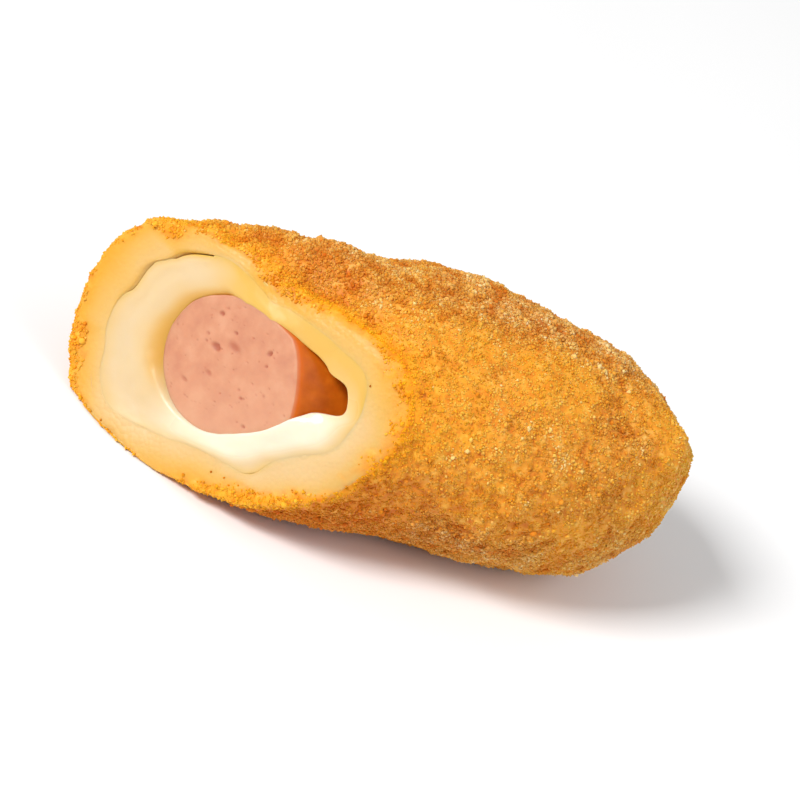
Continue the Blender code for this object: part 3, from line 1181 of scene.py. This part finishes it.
# %% Cheese
share_in = np.clip((cheese_outside - radius) / (cheese_outside - hole), 0.0, 1.0)
from_dough = np.maximum(layer_edge(angle) - radius, 0.0)
yellow = 0.40 * np.exp(-((from_dough / 1.1) ** 1.5)) + towards(80.0, angle, 0.25, 0.95)
left = towards(190.0, angle, 0.1, 0.9)
# painted shade: yellower where the cheese dips to the sausage at the left and beside the open seam
yellow = yellow + 0.30 * left * smooth_step(0.45, 0.9, share_in) + 1.0 * seam * bell(from_dough, 0.5)
yellow = np.clip(yellow + 0.10 * soft_noise(smooth, 3.0, 63), 0.0, 1.0)
# painted shade: a darker gold where the cheese dips to the sausage
contact = smooth_step(0.76, 1.0, share_in) * towards(165.0, angle, -0.2, 0.5)
# partly the cheese's own colour, partly a painted sheen: whiter where it pooled
pooled = towards(335.0, angle, 0.15, 0.8) * smooth_step(0.15, 0.6, share_in)
cheese_mesh = row_mesh(
    "melted_cheese", surface,
    on_axis(cheese_end), on_axis(surface[-1, :, 1].max() - AXIS[1] + 1.0, SAUSAGE_AXIS),
    yellow=yellow, pooled=pooled, contact=contact,
)
cheese_finish, tree, shader = new_material(
    "melted_cheese", IOR=1.42,
    Subsurface_Weight=0.45, Subsurface_Radius=(3.0, 2.2, 1.2), Subsurface_Scale=0.0005,
)
place = own_place(tree)
speckle = use_group(tree, grain, Place=place, Scale=700.0, Softness=1.0)
# the yellow tint paints shade too, the contact tint is painted shade, the pool tint is partly a
# painted sheen
cream = tinted(
    tree, picked(210, 185, 145), pooled=(234, 225, 202), yellow=(214, 168, 72), contact=(206, 153, 58)
)
cream = patchy(tree, speckle, 0.20, cream, (213, 184, 132))
tree.links.new(cream, shader.inputs["Base Color"])
varied(tree, shader, "Roughness", stored(tree, "pooled"), 0.40, 0.20)
bump(tree, shader, speckle["Height"], 0.10, 0.35)
add_piece("melted_cheese", cheese_mesh, cheese_finish, "cheese")

# %% [markdown]
# ## The sausage
#
# A sausage of this kind is a smooth pink emulsion in a thin browned skin. Its cut
# face shows small air pores and one larger pair near the middle. The skin shrinks
# back from the cut, so the edge is slightly rounded. The pores are real dents, which
# needs a fine grid on the face: each is a bell curve pushed in along the roll.

# %% Measures of the sausage
SAUSAGE_AROUND = 240
SAUSAGE_LENGTH = 54.0  # from the middle of the cut to its hidden end
SAUSAGE_END_ROWS = 12
SKIN_ROWS = 48
SKIN_EDGE_ROWS = 6
FACE_ROWS = 90
EDGE_ROUNDING = 0.22
# (across, up, width, height, depth) of the larger pores, from the roll's axis
PORES = (
    (-4.9, 4.0, 0.34, 0.30, 0.30), (-1.8, 3.6, 0.26, 0.22, 0.22), (-4.2, 0.7, 0.26, 0.20, 0.16),
    (-3.7, -0.2, 0.22, 0.18, 0.14), (-2.3, 0.2, 0.62, 0.46, 0.34), (-0.6, 2.1, 0.90, 0.55, 0.18),
    (3.0, 5.2, 0.26, 0.40, 0.34), (3.9, 3.6, 0.18, 0.24, 0.20), (-0.5, -3.1, 0.46, 0.30, 0.16),
    (-2.1, -6.3, 0.50, 0.28, 0.14), (3.7, -1.5, 0.22, 0.18, 0.12), (4.7, -2.1, 0.28, 0.20, 0.16),
    (7.4, -4.6, 0.30, 0.22, 0.20), (6.4, 0.5, 0.24, 0.20, 0.10),
)
PORE_SHADE = 0.22  # a pore this deep is fully dark
TINY_PORES = 80
# least and greatest width, height and depth of the tiny pores
TINY_SIZES = ((0.08, 0.19), (0.07, 0.15), (0.04, 0.14))
# (degrees, millimetres) of the sausage's outline round its own axis
SAUSAGE_OUTLINE = (
    (0, 9.65), (8, 9.7), (14, 9.45), (22, 9.13), (31, 8.95), (41, 8.9), (51, 9.0), (61, 9.32),
    (69, 9.6), (76, 9.8), (84, 9.5), (95, 9.3), (115, 9.5), (131, 9.9), (163, 10.0), (179, 9.6),
    (208, 9.2), (225, 9.15), (243, 9.3), (253, 9.55), (270, 9.6), (320, 9.4), (348, 9.45),
)


def plumpness(angle):
    """The outline as a share of a circle's: pressed flat where the hollow is."""
    return ring_curve(SAUSAGE_OUTLINE, angle, 3.0) / SAUSAGE_RADIUS


def face_along(angle, distance):
    """The cut plane at an angle and a distance from the sausage's own axis. The
    distance is that on a round sausage, so it is first scaled to the outline."""
    across = SAUSAGE_CENTRE[0] + distance * plumpness(angle) * np.cos(angle)
    up = SAUSAGE_CENTRE[1] + distance * plumpness(angle) * np.sin(angle)
    return sausage_cut_position(np.arctan2(up, across), np.hypot(across, up)) - SAUSAGE_PROUD


def round_sausage(angle, along):
    """A plain cylinder's radius. The outline is put on afterwards."""
    return np.full(np.broadcast(angle, along).shape, SAUSAGE_RADIUS)


print("outline of the sausage:", plumpness(angles_round(360)).min().round(3), "of a circle at least")

# %% [markdown]
# ## Skin, rounded edge and cut face
#
# The rows run from the hidden round end along the skin, over the small rounding at
# the cut, and in to the middle of the face. Pores are pushed in along the roll, and
# the skin is wrinkled lengthwise by noise that is stretched along it.

# %% Surface of the sausage
angle = angles_round(SAUSAGE_AROUND)
shoulder = SAUSAGE_LENGTH - SAUSAGE_RADIUS
side_to = face_along(angle, SAUSAGE_RADIUS) + EDGE_ROUNDING
side_share = shares(SKIN_ROWS) ** 0.7
side_along = shoulder + (side_to - shoulder) * side_share
turn = quarter_turn(SKIN_EDGE_ROWS)
edge_at = SAUSAGE_RADIUS - EDGE_ROUNDING * (1.0 - np.cos(turn))
edge_along = face_along(angle, edge_at) + EDGE_ROUNDING * (1.0 - np.sin(turn))
face_at = (SAUSAGE_RADIUS - EDGE_ROUNDING) * (1.0 - shares(FACE_ROWS)[:-1])
parts = (
    closed_end(angle, round_sausage, SAUSAGE_LENGTH, SAUSAGE_RADIUS, SAUSAGE_END_ROWS),
    (SAUSAGE_RADIUS, side_along),
    (edge_at, edge_along),
    (face_at, face_along(angle, face_at)),
)
radius, along = joined(angle, *parts)
plump = radius * plumpness(angle)
smooth = placed(angle, plump, along, SAUSAGE_AXIS)
on_face = np.zeros((len(radius), 1))
on_face[-len(face_at):] = 1.0
random = np.random.default_rng(7)
tiny_at = SAUSAGE_RADIUS * 0.95 * np.sqrt(random.random(TINY_PORES))
tiny_angle = random.random(TINY_PORES) * 2.0 * np.pi
tiny = [tiny_at * np.cos(tiny_angle) + SAUSAGE_CENTRE[0]]
tiny += [tiny_at * np.sin(tiny_angle) + SAUSAGE_CENTRE[1]]
tiny += [random.uniform(least, greatest, TINY_PORES) for least, greatest in TINY_SIZES]
dents = np.zeros(radius.shape)
for across, up, width, height, deepest in (*PORES, *zip(*tiny)):
    aside = (smooth[..., 0] - AXIS[0] - across) / width
    above = (smooth[..., 2] - AXIS[2] - up) / height
    dents += deepest * np.exp(-((aside**2 + above**2) ** 1.5))
dents *= on_face
unevenness = layered(smooth, (0.07, 2.6, 71), (0.03, 0.9, 72))
wrinkles = 0.05 * soft_noise(smooth * np.array([1.0, 0.35, 1.0]), 0.8, 73) * (1.0 - on_face)
surface = smooth.copy()
surface[..., 0] += wrinkles * np.cos(angle)
surface[..., 1] += dents + unevenness * on_face
surface[..., 2] += wrinkles * np.sin(angle)
print("sausage grid:", surface.shape[:2], "deepest pore in mm:", dents.max().round(2))

# %% [markdown]
# ## Finish of the sausage
#
# Pink meat on the face and brown skin on the side are one material, mixed by a number
# that rises over the rounded edge, because the skin is too thin to be a layer. The
# meat is mottled by noise, paler on its lower right, and darkened with painted shade
# in the pores. Along its edge at the cut the skin has a painted highlight, a brighter
# orange.

# %% Sausage
from_face = along - face_along(angle, SAUSAGE_RADIUS)
skin = smooth_step(0.08, 0.36, from_face) * (1.0 - on_face)
# painted highlight: a brighter orange along the skin's edge at the cut
rim = bell(from_face - 0.5, 0.6) * (1.0 - on_face)
lower_right = plump / SAUSAGE_RADIUS * np.cos(angle - np.radians(318.0))
sausage_mesh = row_mesh(
    "sausage_in_skin", surface, on_axis(SAUSAGE_LENGTH, SAUSAGE_AXIS),
    on_axis(face_along(np.zeros(1), np.zeros(1))[0], SAUSAGE_AXIS),
    skin=skin, rim=rim, pore=np.clip(dents / PORE_SHADE, 0.0, 1.0),
    pale=0.7 * smooth_step(-0.4, 1.2, lower_right),
)
sausage_finish, tree, shader = new_material(
    "sausage_in_skin", Specular_IOR_Level=0.25,
    Subsurface_Weight=0.30, Subsurface_Radius=(2.6, 1.0, 0.6), Subsurface_Scale=0.0009,
)
place = own_place(tree)
speckle = use_group(tree, grain, Place=place, Scale=1300.0, Softness=0.7)
mottling = noise(tree, place, 2.4, 3.0)
meat = ramp(tree, mottling, (0.28, 187, 124, 96), (0.5, 196, 136, 104), (0.72, 204, 148, 116))
meat = tinted(tree, meat, pale=(204, 151, 119))
meat = patchy(tree, speckle, 0.25, meat, (202, 138, 108))
# painted shade: the pores are darkened in colour
pitted = calculate(tree, "MULTIPLY", stored(tree, "pore"), 0.75)
meat = mixed(tree, pitted, meat, picked(160, 78, 56))
mottling = noise(tree, place, 2.2, 3.0)
browned = ramp(tree, mottling, (0.25, 172, 78, 8), (0.6, 193, 94, 12), (0.85, 207, 108, 20))
# painted highlight along the skin's edge at the cut
browned = tinted(tree, browned, rim=(206, 98, 16))
colour = mixed(tree, stored(tree, "skin"), meat, browned)
tree.links.new(colour, shader.inputs["Base Color"])
varied(tree, shader, "Roughness", stored(tree, "skin"), 0.48, 0.34)
bump(tree, shader, speckle["Height"], 0.08, 0.5)
add_piece("sausage_in_skin", sausage_mesh, sausage_finish, "sausage")

# %% [markdown]
# ## The crumb coat
#
# Dry breadcrumbs are small broken grains, a third of a millimetre to a millimetre
# across, pressed into wet batter and fried hard. Bump alone can't give the ragged
# outline that they have, so they are real pieces. The largest start as a ball of
# twenty triangles and the many small ones as a splinter of eight, because a shape
# that is repeated thousands of times has to be plain.


# %% Two shapes of crumb
def ball():
    """Twelve corners of a twenty-sided ball, two poles and two rings of five, and the
    numbers of its twenty triangles."""
    fifth = np.arange(5) * 2.0 * np.pi / 5
    height = 1.0 / np.sqrt(5.0)
    wide = 2.0 * height
    upper = np.stack([wide * np.cos(fifth), wide * np.sin(fifth), np.full(5, height)], axis=-1)
    half = fifth + np.pi / 5
    lower = np.stack([wide * np.cos(half), wide * np.sin(half), np.full(5, -height)], axis=-1)
    corners = np.concatenate([upper, lower, [[0.0, 0.0, 1.0], [0.0, 0.0, -1.0]]])
    here, following = np.arange(5), (np.arange(5) + 1) % 5
    faces = np.concatenate(
        [
            np.stack([here, following, np.full(5, 10)], axis=-1),
            np.stack([following, here, here + 5], axis=-1),
            np.stack([here + 5, following + 5, following], axis=-1),
            np.stack([following + 5, here + 5, np.full(5, 11)], axis=-1),
        ]
    )
    return corners, faces


def splinter():
    """Six corners of an eight-sided grain: four in a ring and one above and below."""
    ring = [[1.0, 0.0, 0.0], [0.0, 1.0, 0.0], [-1.0, 0.0, 0.0], [0.0, -1.0, 0.0]]
    here, following = np.arange(4), (np.arange(4) + 1) % 4
    above = np.stack([here, following, np.full(4, 4)], axis=-1)
    below = np.stack([following, here, np.full(4, 5)], axis=-1)
    corners = np.array([*ring, [0.0, 0.0, 1.0], [0.0, 0.0, -1.0]])
    return corners, np.concatenate([above, below])


print("triangles of a ball and a splinter:", len(ball()[1]), len(splinter()[1]))

# %% [markdown]
# ## Scattering them
#
# Each crumb is pulled out of shape, turned and sized at random, and sinks part of the
# way into the crust. All crumbs of one kind are joined in one mesh, which is far
# lighter than thousands of objects. They are densest where the crust is brown. Each
# carries its own lightness, and the numbers of the crust it lies on.

# %% Placing and joining
CORNER_REACH = (0.72, 1.22)  # least and greatest share of its size that a corner reaches
STRETCH = (0.62, 1.15)  # the same for each of a crumb's three directions
CLUMP_SHARE = 0.8  # how far clumps share one tone
TONE_SLACK = 0.1  # how far past its kind's tones a clump may take it
PALE_LIFT = 0.4  # how much lighter the middle of a pale cluster is
BROWN_SPREAD = 0.13
LOWEST = 0.02  # millimetres over the table


def turned_at_random(count, random):
    """A random turn for each crumb, as three columns at right angles: two random
    directions, the second made square to the first, and their cross product."""
    first, second = random.normal(size=(2, count, 3))
    first /= np.linalg.norm(first, axis=1, keepdims=True)
    second -= first * (first * second).sum(axis=1, keepdims=True)
    second /= np.linalg.norm(second, axis=1, keepdims=True)
    return np.stack([first, second, np.cross(first, second)], axis=-1)


def scatter(count, density, random):
    """Rows and columns of the crust's grid, chosen by area times density."""
    chance = (area * density).ravel()
    chosen = random.choice(chance.size, size=count, p=chance / chance.sum())
    return np.unravel_index(chosen, area.shape)


def nearest_places(points):
    """Rows and columns of the crust's grid nearest to the given points."""
    away = np.linalg.norm(shell[np.newaxis] - points[:, np.newaxis, np.newaxis], axis=-1)
    return np.unravel_index(away.reshape(len(points), -1).argmin(axis=1), area.shape)


def crumb_piece(name, grain_shape, places, size, spread, sunk, tones, seed):
    """Crumbs `size` across, varying by the share `spread`, one at each of the places,
    or scattered where the places are a count and a density. `sunk` is the share of
    each one's size that lies in the crust."""
    random = np.random.default_rng(seed)
    row, column = scatter(*places, random) if np.isscalar(places[0]) else places
    count = len(row)
    beside = (column + 1) % AROUND
    down = np.minimum(row + 1, len(area) - 1)
    slide = random.random((2, count, 1))
    here = shell[row, column]
    at = here + slide[0] * (shell[down, column] - here) + slide[1] * (shell[row, beside] - here)
    across = size * np.exp(spread * random.normal(size=count))
    at = at + shell_out[row, column] * (across * (0.5 - sunk))[:, np.newaxis]
    corners, faces = grain_shape
    shapes = corners * random.uniform(*CORNER_REACH, (count, len(corners), 1))
    shapes = shapes * random.uniform(*STRETCH, (count, 1, 3))
    shapes = np.einsum("nij,nkj->nki", turned_at_random(count, random), shapes)
    points = at[:, np.newaxis, :] + shapes * (across / 2)[:, np.newaxis, np.newaxis]
    points[..., 2] = np.maximum(points[..., 2], LOWEST)
    numbers = faces + (np.arange(count) * len(corners))[:, np.newaxis, np.newaxis]
    mesh = bpy.data.meshes.new(name)
    mesh.from_pydata((points.reshape(-1, 3) * MM).tolist(), [], numbers.reshape(-1, 3).tolist())
    dark, pale = tones
    light = random.uniform(dark, pale, count)
    light = light + (pale - dark) * CLUMP_SHARE * shell_clumps[row, column]
    light = np.clip(light, dark - TONE_SLACK, pale + TONE_SLACK)
    light = light + PALE_LIFT * shell_pale[row, column]
    brown = shell_brown[row, column] + random.normal(0.0, BROWN_SPREAD, count)
    # glow and deep carry the crust's painted glow and painted shade onto each crumb
    per_crumb = {
        "light": np.clip(light, 0.0, 1.0),
        "brown": np.clip(brown, 0.0, 1.0),
        "glow": shell_glow[row, column],
        "deep": shell_scorched[row, column],
    }
    add_values(mesh, **{key: np.repeat(array, len(corners)) for key, array in per_crumb.items()})
    add_piece(name, mesh, crumb_finish, "dough", sharpest=None)


print("rows and columns that crumbs can lie on:", area.shape)

# %% [markdown]
# ## Kinds of crumb
#
# Coarse toasted crumbs stand out on the brown parts, golden ones cover the rest, finer
# ones fill the gaps between them, and dry pale ones catch the light on top. A few are
# burnt specks, set one by one. All share one finish, which reads each crumb's numbers.

# %% Crumb pieces
crumb_finish, tree, shader = new_material(
    "fried_crumbs", Roughness=0.68, Specular_IOR_Level=0.18,
    Subsurface_Weight=0.35, Subsurface_Radius=(1.6, 0.9, 0.4), Subsurface_Scale=0.0008,
)
colour = fried_colour(tree, stored(tree, "light"))
tree.links.new(colour, shader.inputs["Base Color"])

coated = smooth_step(0.35, 0.9, shell_coat)
rough = 0.35 + 0.65 * smooth_step(0.15, 0.7, shell_brown)
dry = coated * rough * (0.05 + shell_brown)
anywhere = coated * (1.1 - 0.6 * shell_brown)
# name, shape, (how many, how densely), size, its spread, share sunk, tones, seed
KINDS = (
    ("toasted_crumbs", ball(), (9000, dry), 0.54, 0.26, 0.46, (0.3, 0.8), 102),
    ("golden_crumbs", splinter(), (24000, anywhere), 0.48, 0.22, 0.58, (0.35, 0.7), 101),
    ("fine_crumbs", splinter(), (24000, coated * (0.5 + rough)), 0.38, 0.25, 0.48, (0.3, 0.75), 103),
    ("fine_toasted_crumbs", splinter(), (22000, coated * rough), 0.45, 0.26, 0.44, (0.25, 0.8), 105),
    ("dry_crumbs", splinter(), (22000, dry), 0.50, 0.26, 0.42, (0.25, 0.9), 104),
    ("burnt_specks", ball(), nearest_places(specks), 0.42, 0.15, 0.45, (0.0, 0.02), 106),
)
for kind in KINDS:
    crumb_piece(*kind)

# %% [markdown]
# ## Table, light and camera
#
# The table is a plain pale sheet. A soft lamp over the camera and to its left gives
# the roundness and one shadow past the closed end. A weak wide one from the right
# opens the shadows, and the pale world fills the rest. The camera looks from the
# cut's side and from above through a long lens, and is tilted so that the roll slopes
# gently down to the right.

# %% Table
TABLE_SIZE = 6.0
half = TABLE_SIZE / 2
corners = [(-half, -half, 0.0), (half, -half, 0.0), (half, half, 0.0), (-half, half, 0.0)]
table_mesh = bpy.data.meshes.new("table_top")
table_mesh.from_pydata(corners, [], [(0, 1, 2, 3)])
table_finish, tree, shader = new_material("pale_table", Roughness=0.7)
cloudy = noise(tree, own_place(tree), 60.0)
pale = ramp(tree, cloudy, (0.0, 243, 243, 243), (1.0, 246, 246, 246))
tree.links.new(pale, shader.inputs["Base Color"])
table_mesh.materials.append(table_finish)
table_top = bpy.data.objects.new("table_top", table_mesh)
scene.collection.objects.link(table_top)
print("table side in metres:", TABLE_SIZE)

# %% Camera
TOWARDS_CAMERA = Vector((0.747, -0.362, 0.557)).normalized()
PICTURE_UP = Vector((-0.650, -0.230, 0.726)).normalized()
LENS = 150.0
SENSOR = 36.0
PICTURE_WIDTH = 111.0  # millimetres shown across the picture, at the roll

middle = (cad_low + cad_high) / 2
camera = bpy.data.cameras.new("camera")
camera.lens = LENS
camera.sensor_width = SENSOR
camera_object = bpy.data.objects.new("camera", camera)
right = PICTURE_UP.cross(TOWARDS_CAMERA).normalized()
up = TOWARDS_CAMERA.cross(right)
distance = PICTURE_WIDTH * MM * LENS / SENSOR
turned = Matrix((right, up, TOWARDS_CAMERA)).transposed().to_4x4()
camera_object.matrix_world = Matrix.Translation(middle + TOWARDS_CAMERA * distance) @ turned
camera.clip_start, camera.clip_end = 0.01, 20.0
scene.collection.objects.link(camera_object)
scene.camera = camera_object
print("camera distance in mm:", round(distance / MM))


# %% Lamps
def soft_lamp(name, direction, distance, size, power):
    """A square lamp that faces the roll, seen from it in the given direction."""
    lamp = bpy.data.lights.new(name, "AREA")
    lamp.size = size
    lamp.energy = power
    lamp_object = bpy.data.objects.new(name, lamp)
    direction = direction.normalized()
    lamp_object.location = middle + direction * distance
    lamp_object.rotation_mode = "QUATERNION"
    lamp_object.rotation_quaternion = direction.to_track_quat("Z", "Y")
    scene.collection.objects.link(lamp_object)


key_from = TOWARDS_CAMERA * 0.84 + up * 0.56 - right * 0.34
fill_from = TOWARDS_CAMERA * 0.45 + up * 0.05 + right * 0.88
soft_lamp("key", key_from, distance=1.50, size=0.44, power=22.4)
soft_lamp("fill", fill_from, distance=0.90, size=0.70, power=2.4)
world = bpy.data.worlds.new("pale room")
world.use_nodes = True
background = world.node_tree.nodes["Background"].inputs
background["Color"].default_value = (1.0, 1.0, 1.0, 1.0)
background["Strength"].default_value = 0.41
scene.world = world
scene.view_settings.view_transform = "Standard"
